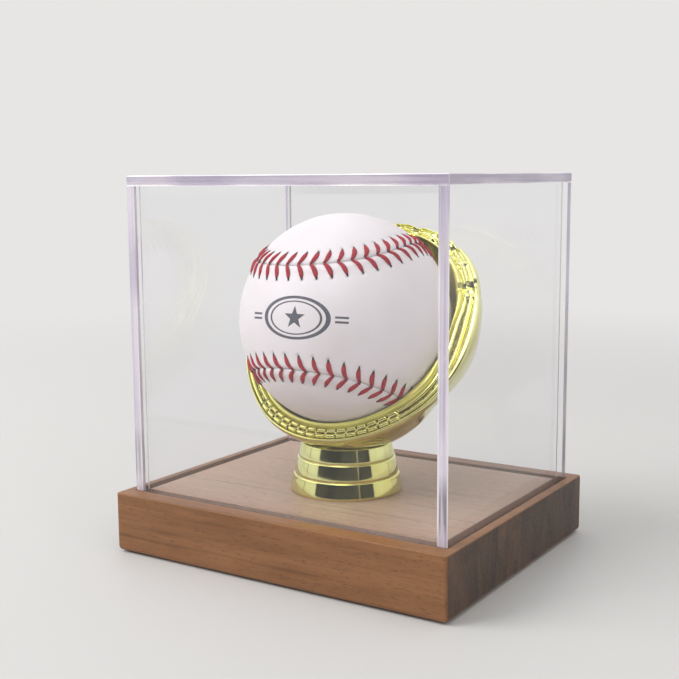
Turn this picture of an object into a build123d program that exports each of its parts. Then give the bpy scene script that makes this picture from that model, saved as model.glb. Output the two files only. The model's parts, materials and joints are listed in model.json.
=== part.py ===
from build123d import *
import os
from math import cos, sin, radians, pi

os.makedirs("parts", exist_ok=True)

# Frame: origin under the middle of the base, front towards -Y, +Z up, millimetres.

# Wooden base, with the wood left outside the cover at the ends and at front and back
base_end_margin = 3.4
base_front_margin = 6.7
base_height = 20.8
base_corner_radius = 1.2
base_top_radius = 0.5
base_bottom_radius = 1.6

# Foot pads let into the underside
pad_radius = 6.0
pad_thickness = 1.6
pad_standout = 0.6
pad_inset = 12.0
pad_fit = 0.1
pad_round = 0.3

# Clear cover of five bonded sheets, with the air inside it at the sides, back and top
side_room = 12.1
back_room = 0.72
head_room = 10.0
sheet = 3.2
groove_depth = 3.0
groove_gap = 0.4
sheet_chamfer = 0.25

# Ball
ball_radius = 37.0
leather = 1.6
pill_radius = 17.5
stitch_count = 88
stitch_leg = 5.3
stitch_width = 0.75
stitch_height = 0.35
stitch_slant = 25.0
stitch_start = 0.3
seam_points = 40
seam_wave = 0.50
seam_rise = 0.969
seam_overrun = 1.6
ball_spin = 47.15
ball_tilt = 7.3
ball_turn = 5.2

# Glove that cradles the ball
stand_forward = 4.8
pocket_clearance = 0.3
pocket_ease = 3.2
glove_wall = 2.2
glove_hollow = 6.1
glove_back_shift = 1.8
opening_tilt = 37.0
rim_drop = 6.3
tip_start = 19.0
tip_fall = 7.0
tip_bend = 60.0
lip_thickness = 3.6
lip_round = 3.0
lace_first = 231.0
lace_last = 309.0
lace_count = 14
lace_offset = 1.4
lace_size = (3.4, 0.95, 1.1)
lace_slant = 28.0
bead_radius = 0.95
bead_offsets = (0.4, 2.8)
bead_spans = ((309.0, 376.0), (164.0, 231.0))
finger_gaps = (25.0, 52.0, 78.0, 103.0, 128.0)
finger_groove = 1.9
finger_groove_depth = 1.2
finger_groove_reach = 58.0
tip_notch = 2.0
tip_notch_length = 6.0
plug_radius = 12.0
plug_height = 2.6
plug_gap = 2.7
spigot_radius = 6.0
spigot_length = 10.0

# Stepped pedestal
pedestal_height = 15.3
tier_heights = (5.5, 5.6)
tier_radii = ((19.1, 18.5), (17.9, 16.6), (15.9, 14.6))
tier_round = 0.35
pedestal_wall = 2.0
socket_wall = 2.0
socket_fit = 0.05

# Fixing screw, washer and threaded insert
screw_radius = 1.95
screw_head_radius = 3.8
screw_head_height = 2.8
screw_head_round = 0.9
thread_gap = 0.05
screw_clearance = 0.35
washer_radius = 5.5
washer_thickness = 1.0
insert_radius = 3.2
insert_length = 8.0
counterbore_radius = 6.5
counterbore_depth = 6.5
drive_slot = 1.0
drive_length = 3.8
drive_depth = 1.4

# Heights worked out from the base upwards
base_top = pad_standout + base_height
groove_floor = base_top - groove_depth
pedestal_top = base_top + pedestal_height
pocket_radius = ball_radius + pocket_clearance + pocket_ease
seat_height = pedestal_top + plug_height + plug_gap + glove_wall
ball_height = seat_height + pocket_clearance + ball_radius
stand_axis = Vector(0, -stand_forward, 0)
ball_centre = stand_axis + Vector(0, 0, ball_height)
ceiling = ball_height + ball_radius + head_room

# Widths worked out from the ball outwards: glove, cover, base
glove_radius = pocket_radius + glove_hollow
lace_circle = pocket_radius + lace_offset
bead_circles = [pocket_radius + offset for offset in bead_offsets]
glove_back_y = glove_back_shift * sin(radians(opening_tilt)) - stand_forward + glove_radius
cover_length = 2 * (glove_radius + side_room + sheet)
cover_depth = 2 * (glove_back_y + back_room + sheet)
base_length = cover_length + 2 * base_end_margin
base_depth = cover_depth + 2 * base_front_margin

# Base: one block, grooved for the cover, bored for the screw and the pads
cover_middle = Plane.XY.offset(base_top)
with BuildPart() as base_block:
    with BuildSketch(Plane.XY.offset(pad_standout)):
        Rectangle(base_length, base_depth)
    extrude(amount=base_height)
    fillet(base_block.edges().filter_by(Axis.Z), radius=base_corner_radius)
    fillet(base_block.faces().sort_by(Axis.Z)[-1].edges(), radius=base_top_radius)
    fillet(base_block.faces().sort_by(Axis.Z)[0].edges(), radius=base_bottom_radius)
    with BuildSketch(cover_middle):
        Rectangle(cover_length + 2 * groove_gap, cover_depth + 2 * groove_gap)
        Rectangle(
            cover_length - 2 * sheet - 2 * groove_gap,
            cover_depth - 2 * sheet - 2 * groove_gap,
            mode=Mode.SUBTRACT,
        )
    extrude(amount=-groove_depth, mode=Mode.SUBTRACT)
    with BuildSketch(Plane.XY.offset(pad_standout)):
        with Locations((0, -stand_forward)):
            Circle(counterbore_radius)
    extrude(amount=counterbore_depth, mode=Mode.SUBTRACT)
    with BuildSketch(Plane.XY.offset(pad_standout)):
        with Locations((0, -stand_forward)):
            Circle(screw_radius + screw_clearance)
    extrude(amount=base_height, mode=Mode.SUBTRACT)
    with BuildSketch(Plane.XY.offset(pad_standout)):
        with GridLocations(base_length - 2 * pad_inset, base_depth - 2 * pad_inset, 2, 2):
            Circle(pad_radius + pad_fit)
    extrude(amount=pad_thickness - pad_standout, mode=Mode.SUBTRACT)
base_block.part.label = "base_block"
export_step(base_block.part, "parts/base_block.step")

# Four foot pads
pad_x = base_length / 2 - pad_inset
pad_y = base_depth / 2 - pad_inset
pad_places = {
    "front_left": (-pad_x, -pad_y),
    "front_right": (pad_x, -pad_y),
    "back_left": (-pad_x, pad_y),
    "back_right": (pad_x, pad_y),
}
for place, (x, y) in pad_places.items():
    with BuildPart() as foot_pad:
        with BuildSketch():
            with Locations((x, y)):
                Circle(pad_radius)
        extrude(amount=pad_thickness)
        fillet(foot_pad.faces().sort_by(Axis.Z)[0].edges(), radius=pad_round)
    foot_pad.part.label = "foot_pad_" + place
    export_step(foot_pad.part, f"parts/foot_pad_{place}.step")


# Cover: side sheets run the full depth, front and back fit between them
def sheet_box(length, depth, low, high, x=0.0, y=0.0):
    with BuildPart() as blank:
        with BuildSketch(Plane.XY.offset(low)):
            with Locations((x, y)):
                Rectangle(length, depth)
        extrude(amount=high - low)
    return blank


side_x = (cover_length - sheet) / 2
face_y = (cover_depth - sheet) / 2
face_length = cover_length - 2 * sheet
cover_sheets = {
    "cover_left": sheet_box(sheet, cover_depth, groove_floor, ceiling, x=-side_x),
    "cover_right": sheet_box(sheet, cover_depth, groove_floor, ceiling, x=side_x),
    "cover_front": sheet_box(face_length, sheet, groove_floor, ceiling, y=-face_y),
    "cover_back": sheet_box(face_length, sheet, groove_floor, ceiling, y=face_y),
}
for name, blank in cover_sheets.items():
    blank.part.label = name
    export_step(blank.part, f"parts/{name}.step")
with BuildPart() as cover_top:
    with BuildSketch(Plane.XY.offset(ceiling)):
        Rectangle(cover_length, cover_depth)
    extrude(amount=sheet)
    chamfer(cover_top.faces().sort_by(Axis.Z)[-1].edges(), length=sheet_chamfer)
cover_top.part.label = "cover_top"
export_step(cover_top.part, "parts/cover_top.step")

# Pedestal: three flared tiers over a hollow, with a socket for the glove's spigot
step_one = base_top + tier_heights[0]
step_two = step_one + tier_heights[1]
tier_levels = ((base_top, step_one), (step_one, step_two), (step_two, pedestal_top))
with BuildPart() as pedestal:
    for (low, high), (foot, head) in zip(tier_levels, tier_radii):
        with BuildSketch(Plane.XZ.offset(stand_forward)):
            with BuildLine():
                Polyline((0, low), (foot, low), (head, high), (0, high), close=True)
            make_face()
        revolve(axis=Axis((0, -stand_forward, 0), (0, 0, 1)))
    ledges = pedestal.edges().filter_by(GeomType.CIRCLE).group_by(Axis.Z)[1:]
    rims = [group.sort_by(SortBy.RADIUS)[-1] for group in ledges]
    fillet(rims, radius=tier_round)
    with BuildSketch(Plane.XY.offset(base_top)):
        with Locations((0, -stand_forward)):
            Circle(tier_radii[2][1] - pedestal_wall)
            Circle(spigot_radius + socket_fit + socket_wall, mode=Mode.SUBTRACT)
    extrude(amount=pedestal_height - pedestal_wall, mode=Mode.SUBTRACT)
    with BuildSketch(Plane.XY.offset(pedestal_top)):
        with Locations((0, -stand_forward)):
            Circle(spigot_radius + socket_fit)
    extrude(amount=-(spigot_length + socket_fit), mode=Mode.SUBTRACT)
    with BuildSketch(Plane.XY.offset(base_top)):
        with Locations((0, -stand_forward)):
            Circle(screw_radius + screw_clearance)
    extrude(amount=pedestal_height, mode=Mode.SUBTRACT)
pedestal.part.label = "pedestal"
export_step(pedestal.part, "parts/pedestal.step")

# Directions of the glove: it opens forwards and up
opening = Vector(0, -cos(radians(opening_tilt)), sin(radians(opening_tilt)))
across = Vector(1, 0, 0)
upward = opening.cross(across)
pocket_centre = ball_centre + Vector(0, 0, pocket_ease)
glove_centre = ball_centre + upward * glove_back_shift
rim_centre = ball_centre - opening * rim_drop
rim_plane = Plane(origin=rim_centre, x_dir=across, z_dir=opening)
tip_plane = Plane(
    origin=rim_centre + upward * tip_start,
    x_dir=across,
    z_dir=opening.rotate(Axis.X, -tip_fall),
)


def around(degrees):
    return across * cos(radians(degrees)) + upward * sin(radians(degrees))


# Palm half: a thin cup for the ball, with the lip that closes the glove
def lace_seat(degrees, slant):
    """Where a bar of the heel lacing lies on the rim plane."""
    outward = around(degrees)
    leaning = outward.rotate(Axis((0, 0, 0), opening), slant)
    return Plane(origin=rim_centre + outward * lace_circle, x_dir=leaning, z_dir=opening)


def glove_blank(centre, radius, lowered):
    """A solid ball cut off along the rim, which falls away a little at the finger tips."""
    with BuildPart() as blank:
        with Locations(centre):
            Sphere(radius)
        split(bisect_by=rim_plane.offset(-lowered), keep=Keep.BOTTOM)
        split(bisect_by=tip_plane.offset(-lowered), keep=Keep.BOTTOM)
        fillet(blank.edges().filter_by(GeomType.LINE), tip_bend)
    return blank.part


lip_blank = glove_blank(glove_centre, glove_radius, 0)
under_lip = glove_blank(glove_centre, glove_radius + lip_thickness, lip_thickness)
cup_blank = glove_blank(pocket_centre, pocket_radius + glove_wall, 0)
with BuildPart() as glove_palm:
    add(lip_blank)
    rim_faces = glove_palm.faces().filter_by(GeomType.SPHERE, reverse=True)
    rim_edges = rim_faces.edges().filter_by(GeomType.LINE, reverse=True)
    fillet(rim_edges, lip_round)
    add(under_lip, mode=Mode.SUBTRACT)
    add(cup_blank)
    with Locations(pocket_centre):
        Sphere(pocket_radius, mode=Mode.SUBTRACT)
    for circle in bead_circles:
        for first, last in bead_spans:
            start = Plane(origin=rim_centre, x_dir=around(first), z_dir=opening)
            with Locations(start):
                Torus(circle, bead_radius, major_angle=last - first, align=None)
    lace_step = (lace_last - lace_first) / lace_count
    for index in range(lace_count):
        degrees = lace_first + (index + 0.5) * lace_step
        for slant in (lace_slant, -lace_slant):
            with Locations(lace_seat(degrees, slant)):
                Box(*lace_size)
    for degrees in finger_gaps:
        notch = Plane(origin=rim_centre + around(degrees) * glove_radius, z_dir=around(degrees))
        with Locations(notch):
            Cylinder(tip_notch, tip_notch_length, mode=Mode.SUBTRACT)
glove_palm.part.label = "glove_palm"
export_step(glove_palm.part, "parts/glove_palm.step")

# Back half: the fingers' outer shell, closed on the pedestal, with a spigot below
seat_plane = Plane.XY.offset(pedestal_top)
back_blank = glove_blank(glove_centre, glove_radius, lip_thickness)
with BuildPart() as glove_back:
    add(back_blank)
    with Locations(glove_centre):
        Sphere(glove_radius - glove_wall, mode=Mode.SUBTRACT)
    split(bisect_by=seat_plane, keep=Keep.TOP)
    with BuildSketch(seat_plane):
        with Locations((0, -stand_forward)):
            Circle(plug_radius)
    extrude(amount=plug_height)
    with BuildSketch(seat_plane):
        with Locations((0, -stand_forward)):
            Circle(spigot_radius)
    extrude(amount=-spigot_length)
    for degrees in finger_gaps:
        start = around(degrees)
        groove = Plane(origin=glove_centre, x_dir=start, z_dir=start.cross(-opening))
        with Locations(groove):
            Torus(
                glove_radius + finger_groove - finger_groove_depth,
                finger_groove,
                major_angle=finger_groove_reach,
                align=None,
                mode=Mode.SUBTRACT,
            )
    with BuildSketch(seat_plane.offset(-spigot_length)):
        with Locations((0, -stand_forward)):
            Circle(insert_radius)
    extrude(amount=insert_length, mode=Mode.SUBTRACT)
glove_back.part.label = "glove_back"
export_step(glove_back.part, "parts/glove_back.step")

# Threaded insert in the spigot
insert_low = pedestal_top - spigot_length
with BuildPart() as glove_insert:
    with BuildSketch(Plane.XY.offset(insert_low)):
        with Locations((0, -stand_forward)):
            Circle(insert_radius)
            Circle(screw_radius + thread_gap, mode=Mode.SUBTRACT)
    extrude(amount=insert_length)
glove_insert.part.label = "glove_insert"
export_step(glove_insert.part, "parts/glove_insert.step")

# Washer and screw below
bore_roof = pad_standout + counterbore_depth
with BuildPart() as washer:
    with BuildSketch(Plane.XY.offset(bore_roof - washer_thickness)):
        with Locations((0, -stand_forward)):
            Circle(washer_radius)
            Circle(screw_radius + screw_clearance, mode=Mode.SUBTRACT)
    extrude(amount=washer_thickness)
washer.part.label = "washer"
export_step(washer.part, "parts/washer.step")

head_top = bore_roof - washer_thickness
with BuildPart() as fixing_screw:
    with BuildSketch(Plane.XY.offset(head_top - screw_head_height)):
        with Locations((0, -stand_forward)):
            Circle(screw_head_radius)
    extrude(amount=screw_head_height)
    fillet(fixing_screw.faces().sort_by(Axis.Z)[0].edges(), radius=screw_head_round)
    with BuildSketch(Plane.XY.offset(head_top)):
        with Locations((0, -stand_forward)):
            Circle(screw_radius)
    extrude(amount=insert_low + insert_length - head_top)
    with BuildSketch(Plane.XY.offset(head_top - screw_head_height)):
        with Locations((0, -stand_forward)):
            Rectangle(drive_length, drive_slot)
            Rectangle(drive_slot, drive_length)
    extrude(amount=drive_depth, mode=Mode.SUBTRACT)
fixing_screw.part.label = "fixing_screw"
export_step(fixing_screw.part, "parts/fixing_screw.step")

# Ball: pill, winding, two figure-eight leather panels and the stitches
def ball_turned(direction):
    """A direction of the ball's own frame, as the ball lies in the glove."""
    spun = direction.rotate(Axis.Z, ball_spin)
    tipped = spun.rotate(Axis.X, 90 - ball_tilt)
    return tipped.rotate(Axis.Z, -ball_turn)


def seam_direction(turn):
    """Unit direction of the seam from the ball's centre, for a turn from 0 to 1."""
    a = 2 * pi * turn
    x = cos(a) + seam_wave * cos(3 * a)
    y = sin(a) - seam_wave * sin(3 * a)
    return ball_turned(Vector(x, y, seam_rise * sin(2 * a)).normalized())


def seam_at(radius):
    """The closed seam line on a sphere about the ball's centre."""
    spots = [seam_direction(k / seam_points) for k in range(seam_points)]
    with BuildLine() as line:
        Spline(*[ball_centre + spot * radius for spot in spots], periodic=True)
    return line.edge()


ball_frame = Plane(
    origin=ball_centre,
    x_dir=ball_turned(Vector(1, 1, 0)),
    z_dir=ball_turned(Vector(0, 0, 1)),
)
with BuildPart() as ball_pill:
    with Locations(ball_frame):
        Sphere(pill_radius)
ball_pill.part.label = "ball_pill"
export_step(ball_pill.part, "parts/ball_pill.step")

with BuildPart() as ball_winding:
    with Locations(ball_frame):
        Sphere(ball_radius - leather)
        Sphere(pill_radius, mode=Mode.SUBTRACT)
ball_winding.part.label = "ball_winding"
export_step(ball_winding.part, "parts/ball_winding.step")

with BuildPart() as ball_leather:
    with Locations(ball_frame):
        Sphere(ball_radius)
        Sphere(ball_radius - leather, mode=Mode.SUBTRACT)
seam_inside = seam_at(ball_radius - leather - seam_overrun)
seam_outside = seam_at(ball_radius + seam_overrun)
seam_cut = Face.make_surface_from_curves(seam_inside, seam_outside)
panel_sides = {"ball_panel_a": Keep.TOP, "ball_panel_b": Keep.BOTTOM}
for name, side in panel_sides.items():
    half = split(ball_leather.part, bisect_by=seam_cut, keep=side)
    with BuildPart() as panel:
        add(half)
    panel.part.label = name
    export_step(panel.part, f"parts/{name}.step")

# Stitches: pairs of legs that meet on the seam in a row of chevrons
seam_line = seam_at(ball_radius)
stitch_seats = []
for k in range(stitch_count):
    spot = seam_line @ (k / stitch_count)
    along = seam_line % (k / stitch_count)
    outward = (spot - ball_centre).normalized()
    for side in (1, -1):
        sideways = outward.cross(along) * side
        leg = sideways.rotate(Axis((0, 0, 0), outward), side * stitch_slant)
        reach = (stitch_start + stitch_leg / 2) / ball_radius
        lean = outward * cos(reach) + leg * sin(reach)
        run = leg * cos(reach) - outward * sin(reach)
        seat = ball_centre + lean * (ball_radius + stitch_height / 2)
        stitch_seats.append(Plane(origin=seat, x_dir=run, z_dir=lean))
with BuildPart() as ball_stitching:
    with Locations(*stitch_seats):
        Box(stitch_leg, stitch_width, stitch_height)
ball_stitching.part.label = "ball_stitching"
export_step(ball_stitching.part, "parts/ball_stitching.step")
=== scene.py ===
import bpy
import bmesh
import json
import random
from math import atan2, cos, degrees, exp, pi, radians, sin
from mathutils import Matrix, Vector, kdtree
from mathutils import noise as noise3


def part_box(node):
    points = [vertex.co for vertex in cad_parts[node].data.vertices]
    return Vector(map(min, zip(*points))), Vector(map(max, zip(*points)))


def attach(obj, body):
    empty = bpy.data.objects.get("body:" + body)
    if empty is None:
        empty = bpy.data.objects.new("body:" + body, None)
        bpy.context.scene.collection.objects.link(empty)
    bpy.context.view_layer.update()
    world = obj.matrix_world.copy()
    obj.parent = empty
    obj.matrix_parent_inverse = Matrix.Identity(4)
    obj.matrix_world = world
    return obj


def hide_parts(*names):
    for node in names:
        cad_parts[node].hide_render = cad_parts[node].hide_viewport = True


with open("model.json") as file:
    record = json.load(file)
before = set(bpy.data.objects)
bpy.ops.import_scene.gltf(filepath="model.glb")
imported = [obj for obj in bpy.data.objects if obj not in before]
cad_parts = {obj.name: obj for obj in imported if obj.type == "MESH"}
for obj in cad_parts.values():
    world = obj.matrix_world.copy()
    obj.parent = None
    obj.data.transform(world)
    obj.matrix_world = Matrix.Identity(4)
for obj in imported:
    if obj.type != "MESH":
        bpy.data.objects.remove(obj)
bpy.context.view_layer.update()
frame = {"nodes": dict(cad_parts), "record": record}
nodes = frame["nodes"]
mm = 0.001
cameraPlace = {  # in metres and degrees, the lens in millimetres
    "spot": (0.21133, -0.3373, 0.13112), "yaw": 32.76, "pitch": 8.19, "roll": -0.43,
    "lens": 60.27, "sensor": 36,
}
print("frame loaded:", len(nodes), "nodes")


# Small helpers for shader trees

def startMaterial(name, settings=None):
    mat = bpy.data.materials.new(name)
    mat.use_nodes = True
    tree = mat.node_tree
    tree.nodes.clear()
    out = tree.nodes.new("ShaderNodeOutputMaterial")
    skin = tree.nodes.new("ShaderNodeBsdfPrincipled")
    tree.links.new(skin.outputs["BSDF"], out.inputs["Surface"])
    for key, value in (settings or {}).items():
        skin.inputs[key].default_value = value
    return mat, tree, skin


def addNode(tree, kind, settings=None, feeds=None):
    node = tree.nodes.new("ShaderNode" + kind)
    for key, value in (settings or {}).items():
        if isinstance(key, str) and key in node.bl_rna.properties:
            setattr(node, key, value)
        else:
            node.inputs[key].default_value = value
    for key, source in (feeds or {}).items():
        tree.links.new(source, node.inputs[key])
    return node


def objectPlace(tree, scale=(1, 1, 1), turn=(0, 0, 0)):
    coords = addNode(tree, "TexCoord")
    place = addNode(tree, "Mapping", {"Scale": scale, "Rotation": turn}, {"Vector": coords.outputs["Object"]})
    return place.outputs["Vector"]


def splitVector(tree, vector):
    return addNode(tree, "SeparateXYZ", feeds={"Vector": vector}).outputs


def ramp(tree, source, stops):
    node = addNode(tree, "ValToRGB", feeds={"Fac": source})
    band = node.color_ramp
    while len(band.elements) < len(stops):
        band.elements.new(0.5)
    for element, (place, tone) in zip(band.elements, stops):
        element.position = place
        element.color = (*tone, 1)
    return node.outputs["Color"]


def greys(tree, source, *stops):
    return ramp(tree, source, [(place, (value, value, value)) for place, value in stops])


def fill(tree, socket, value):
    if isinstance(value, bpy.types.NodeSocket):
        tree.links.new(value, socket)
    else:
        socket.default_value = (*value, 1) if isinstance(value, tuple) else value


def mixTone(tree, share, a, b, blendType="MIX"):
    node = addNode(tree, "Mix", {"data_type": "RGBA", "blend_type": blendType})
    for key, value in ((0, share), (6, a), (7, b)):
        fill(tree, node.inputs[key], value)
    return node.outputs[2]


def mixShader(tree, share, a, b):
    node = addNode(tree, "MixShader", feeds={1: a.outputs[0], 2: b.outputs[0]})
    fill(tree, node.inputs[0], share)
    return node


def maths(tree, operation, a, b=0.0):
    node = addNode(tree, "Math", {"operation": operation})
    for socket, value in zip(node.inputs, (a, b)):
        fill(tree, socket, value)
    return node.outputs["Value"]


def times(tree, a, b):
    return maths(tree, "MULTIPLY", a, b)


def dot(tree, vector, axis):
    return addNode(tree, "VectorMath", {"operation": "DOT_PRODUCT", 1: axis}, {0: vector}).outputs["Value"]


def mapped(tree, source, start, end, low=0.0, high=1.0, kind="LINEAR"):
    settings = {"interpolation_type": kind, "From Min": start, "From Max": end, "To Min": low, "To Max": high}
    return addNode(tree, "MapRange", settings, {"Value": source}).outputs["Result"]


def noise(tree, place, scale, detail, roughness, distortion=0.0):
    settings = {"Scale": scale, "Detail": detail, "Roughness": roughness, "Distortion": distortion}
    return addNode(tree, "TexNoise", settings, {"Vector": place}).outputs["Fac"]


def dress(tree, skin, tone, source, gloss, band=(0.3, 0.7)):  # tone, and roughness by the source
    tree.links.new(tone, skin.inputs["Base Color"])
    tree.links.new(greys(tree, source, *zip(band, gloss)), skin.inputs["Roughness"])


def bump(tree, skin, height, distance, strength):
    node = addNode(tree, "Bump", {"Distance": distance, "Strength": strength}, {"Height": height})
    tree.links.new(node.outputs["Normal"], skin.inputs["Normal"])


# Wood: straight grained, with short dark pores, darker end grain at both ends, and a painted sheen under the
# cover: a paler tone that stands in for pale light reflected on the top and lifts the shade on the groove
# walls

woodLook = {
    "pale": (0.312, 0.144, 0.062), "dark": (0.205, 0.090, 0.036), "pore": (0.060, 0.024, 0.012),
    "endPale": (0.118, 0.066, 0.038), "endDark": (0.034, 0.022, 0.018), "endDepth": 1.0 * mm,
    "paintedSheenTone": (0.620, 0.455, 0.365), "paintedSheenShare": 0.64, "footDepth": 0.6 * mm,
    "fineShare": 0.48, "poreShare": 0.50, "ringShare": 0.5, "poreDepth": 0.04 * mm, "fineRelief": 0.35,
    "gloss": (0.36, 0.52), "shine": 0.36, "layers": {  # scale, turn about X, detail, roughness, distortion
        "figure": ((9, 95, 95), 0, 6, 0.6, 0.6), "fine": ((45, 900, 900), 0, 4, 0.6, 0),
        "pores": ((430, 3300, 3300), 0, 2, 0.5, 0), "long": ((16, 420, 420), 0, 3, 0.5, 0),
        "streaks": ((40, 150, 42), 0.5, 5, 0.62, 0.8), "rings": ((300, 1500, 260), 0, 3, 0.6, 0),
    },
}


def makeWood():
    look = woodLook
    mat, tree, skin = startMaterial("oiledWood", {"Specular IOR Level": look["shine"]})
    layer = {key: noise(tree, objectPlace(tree, scale, (turn, 0, 0)), 1, *rest)
             for key, (scale, turn, *rest) in look["layers"].items()}
    endTone = ramp(tree, layer["streaks"], ((0.32, look["endDark"]), (0.70, look["endPale"])))
    rings = greys(tree, layer["rings"], (0.3, 0.6), (0.65, 1.0))
    endTone = mixTone(tree, look["ringShare"], endTone, rings, "MULTIPLY")
    coords = addNode(tree, "TexCoord").outputs
    x, y, z = splitVector(tree, coords["Object"])
    across, along = maths(tree, "ABSOLUTE", x), maths(tree, "ABSOLUTE", y)
    atEnd = maths(tree, "GREATER_THAN", across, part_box("base_block")[1].x - look["endDepth"])
    turned = maths(tree, "POWER", maths(tree, "ABSOLUTE", splitVector(tree, coords["Normal"])["X"]), 6.0)
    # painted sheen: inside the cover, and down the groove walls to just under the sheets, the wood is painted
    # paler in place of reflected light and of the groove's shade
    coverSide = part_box("cover_top")[1]
    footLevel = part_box("cover_front")[0].z - look["footDepth"]
    under = times(tree, maths(tree, "LESS_THAN", across, coverSide.x),
                  maths(tree, "LESS_THAN", along, coverSide.y))
    under = times(tree, under, maths(tree, "GREATER_THAN", z, footLevel))
    body = ramp(tree, layer["figure"], ((0.30, look["dark"]), (0.66, look["pale"])))
    body = mixTone(tree, times(tree, under, look["paintedSheenShare"]), body, look["paintedSheenTone"])
    fine = greys(tree, layer["fine"], (0.3, 0.55), (0.7, 1.0))
    body = mixTone(tree, look["fineShare"], body, fine, "MULTIPLY")
    poreMask = greys(tree, layer["pores"], (0.60, 0), (0.69, 1))
    body = mixTone(tree, times(tree, poreMask, look["poreShare"]), body, look["pore"])
    body = mixTone(tree, 1.0, body, greys(tree, layer["long"], (0.58, 1), (0.72, 0.70)), "MULTIPLY")
    body = mixTone(tree, times(tree, atEnd, turned), body, endTone)
    dress(tree, skin, body, layer["fine"], look["gloss"])
    relief = maths(tree, "SUBTRACT", times(tree, layer["fine"], look["fineRelief"]), poreMask)
    bump(tree, skin, relief, look["poreDepth"], 0.8)
    return mat


# Gold plating: thin bright metal over a moulding, a little uneven in tone and gloss

goldLook = {  # slitShade is a painted shade: the near black tone deep in the slits of the lacing
    "pale": (0.750, 0.745, 0.325), "deep": (0.660, 0.610, 0.190), "slitShade": (0.026, 0.022, 0.008),
    "gloss": (0.04, 0.12), "cloudScale": 60, "smearScale": 240,
    "pocketLitTone": (0.90, 0.86, 0.22), "pocketGloss": (0.16, 0.30), "pocketMetal": 0.45,
}


def makeGold(name, ripple, rippleScale, metal=1.0, pale=goldLook["pale"], gloss=goldLook["gloss"]):
    mat, tree, skin = startMaterial(name, {"Metallic": metal})
    place = objectPlace(tree)
    cloud = noise(tree, place, goldLook["cloudScale"], 3, 0.5)
    tone = ramp(tree, cloud, ((0.35, goldLook["deep"]), (0.62, pale)))
    # painted shade: where the lacing's attribute is high, the near black slit tone is mixed in
    slitShade = addNode(tree, "Attribute", {"attribute_name": "slitShade"}).outputs["Fac"]
    smear = noise(tree, place, goldLook["smearScale"], 4, 0.6)
    dress(tree, skin, mixTone(tree, slitShade, tone, goldLook["slitShade"]), smear, gloss, (0.35, 0.75))
    bump(tree, skin, noise(tree, place, rippleScale, 3, 0.55), ripple, 0.6)
    return mat


# Clear cover: panes that pass light and mirror a little, with a faint haze, and polished edges in painted
# tones: painted reflections in the edges, painted highlights on the bevels, painted light over the feet in
# the groove

coverLook = {
    "clear": (0.985, 0.985, 0.990), "index": 1.49, "mirror": 0.62, "gloss": (0.01, 0.035), "smearScale": 55,
    "dustAndVeil": 0.004, "dustAndVeilTone": (0.85, 0.84, 0.88), "bevelHighlightTone": (0.88, 0.86, 0.88),
    "edgePale": (0.66, 0.60, 0.69), "edgeDeep": (0.42, 0.38, 0.49), "edgeGloss": (0.10, 0.20),
    "topPale": (0.56, 0.51, 0.59), "topDeep": (0.36, 0.32, 0.42), "edgeCoat": 0.3,
    "footLitPale": (0.50, 0.44, 0.42), "footLitDeep": (0.40, 0.35, 0.33),
    "baseReflectionTone": (0.16, 0.14, 0.15), "baseReflectionBand": ((0.24, 0), (0.29, 1), (0.36, 1), (0.44, 0)),
}


def makePane():
    mat, tree, skin = startMaterial("clearSheet")
    tree.nodes.remove(skin)
    out = tree.nodes["Material Output"]
    look, side = coverLook, addNode(tree, "NewGeometry").outputs["Backfacing"]
    index = maths(tree, "ADD", times(tree, side, 1 / look["index"] - look["index"]), look["index"])
    fresnel = addNode(tree, "Fresnel", feeds={"IOR": index}).outputs["Fac"]
    mirror = times(tree, fresnel, look["mirror"])
    smear = noise(tree, objectPlace(tree), look["smearScale"], 3, 0.6)
    clear = addNode(tree, "BsdfTransparent", {"Color": (*look["clear"], 1)})
    rough = greys(tree, smear, *zip((0.4, 0.8), look["gloss"]))
    shine = addNode(tree, "BsdfGlossy", {"Color": (1, 1, 1, 1)}, {"Roughness": rough})
    # a faint diffuse haze: partly dust, partly a painted veil standing in for pale light reflected over the
    # panes
    dustAndVeil = addNode(tree, "BsdfDiffuse", {"Color": (*look["dustAndVeilTone"], 1)})
    both = mixShader(tree, mirror, mixShader(tree, look["dustAndVeil"], clear, dustAndVeil), shine)
    tree.links.new(both.outputs[0], out.inputs["Surface"])
    return mat


# A sheet face in painted tones: its pale and deep tones are painted reflection, highlight or light that the
# polished acrylic shows, not the sheet's own colour
def makeEdge(name, pale, deep, alpha, streaks, baseReflection=0.0):
    look = coverLook
    mat, tree, skin = startMaterial(name, {"Alpha": alpha, "Coat Weight": look["edgeCoat"]})
    cloud = noise(tree, objectPlace(tree), 30, 2, 0.5)
    fine = noise(tree, objectPlace(tree, streaks), 1, 2, 0.5)
    blend = maths(tree, "ADD", times(tree, cloud, 0.5), times(tree, fine, 0.5))
    tone = ramp(tree, blend, ((0.40, look[deep]), (0.58, look[pale])))
    # painted reflection: low on the upright edges a darker band stands in for the base seen in the sheet
    if baseReflection:  # low on the upright edges the base is mirrored inside the sheet
        height = splitVector(tree, addNode(tree, "TexCoord").outputs["Object"])["Z"]
        band = greys(tree, times(tree, height, 10.0), *look["baseReflectionBand"])  # in tenths of a metre
        amount = times(tree, band, greys(tree, fine, (0.42, baseReflection), (0.56, 0.1)))
        tone = mixTone(tree, amount, tone, look["baseReflectionTone"])
    dress(tree, skin, tone, cloud, look["edgeGloss"])
    return mat


# Ball: pebbled leather with a print, and twisted red thread

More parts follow.
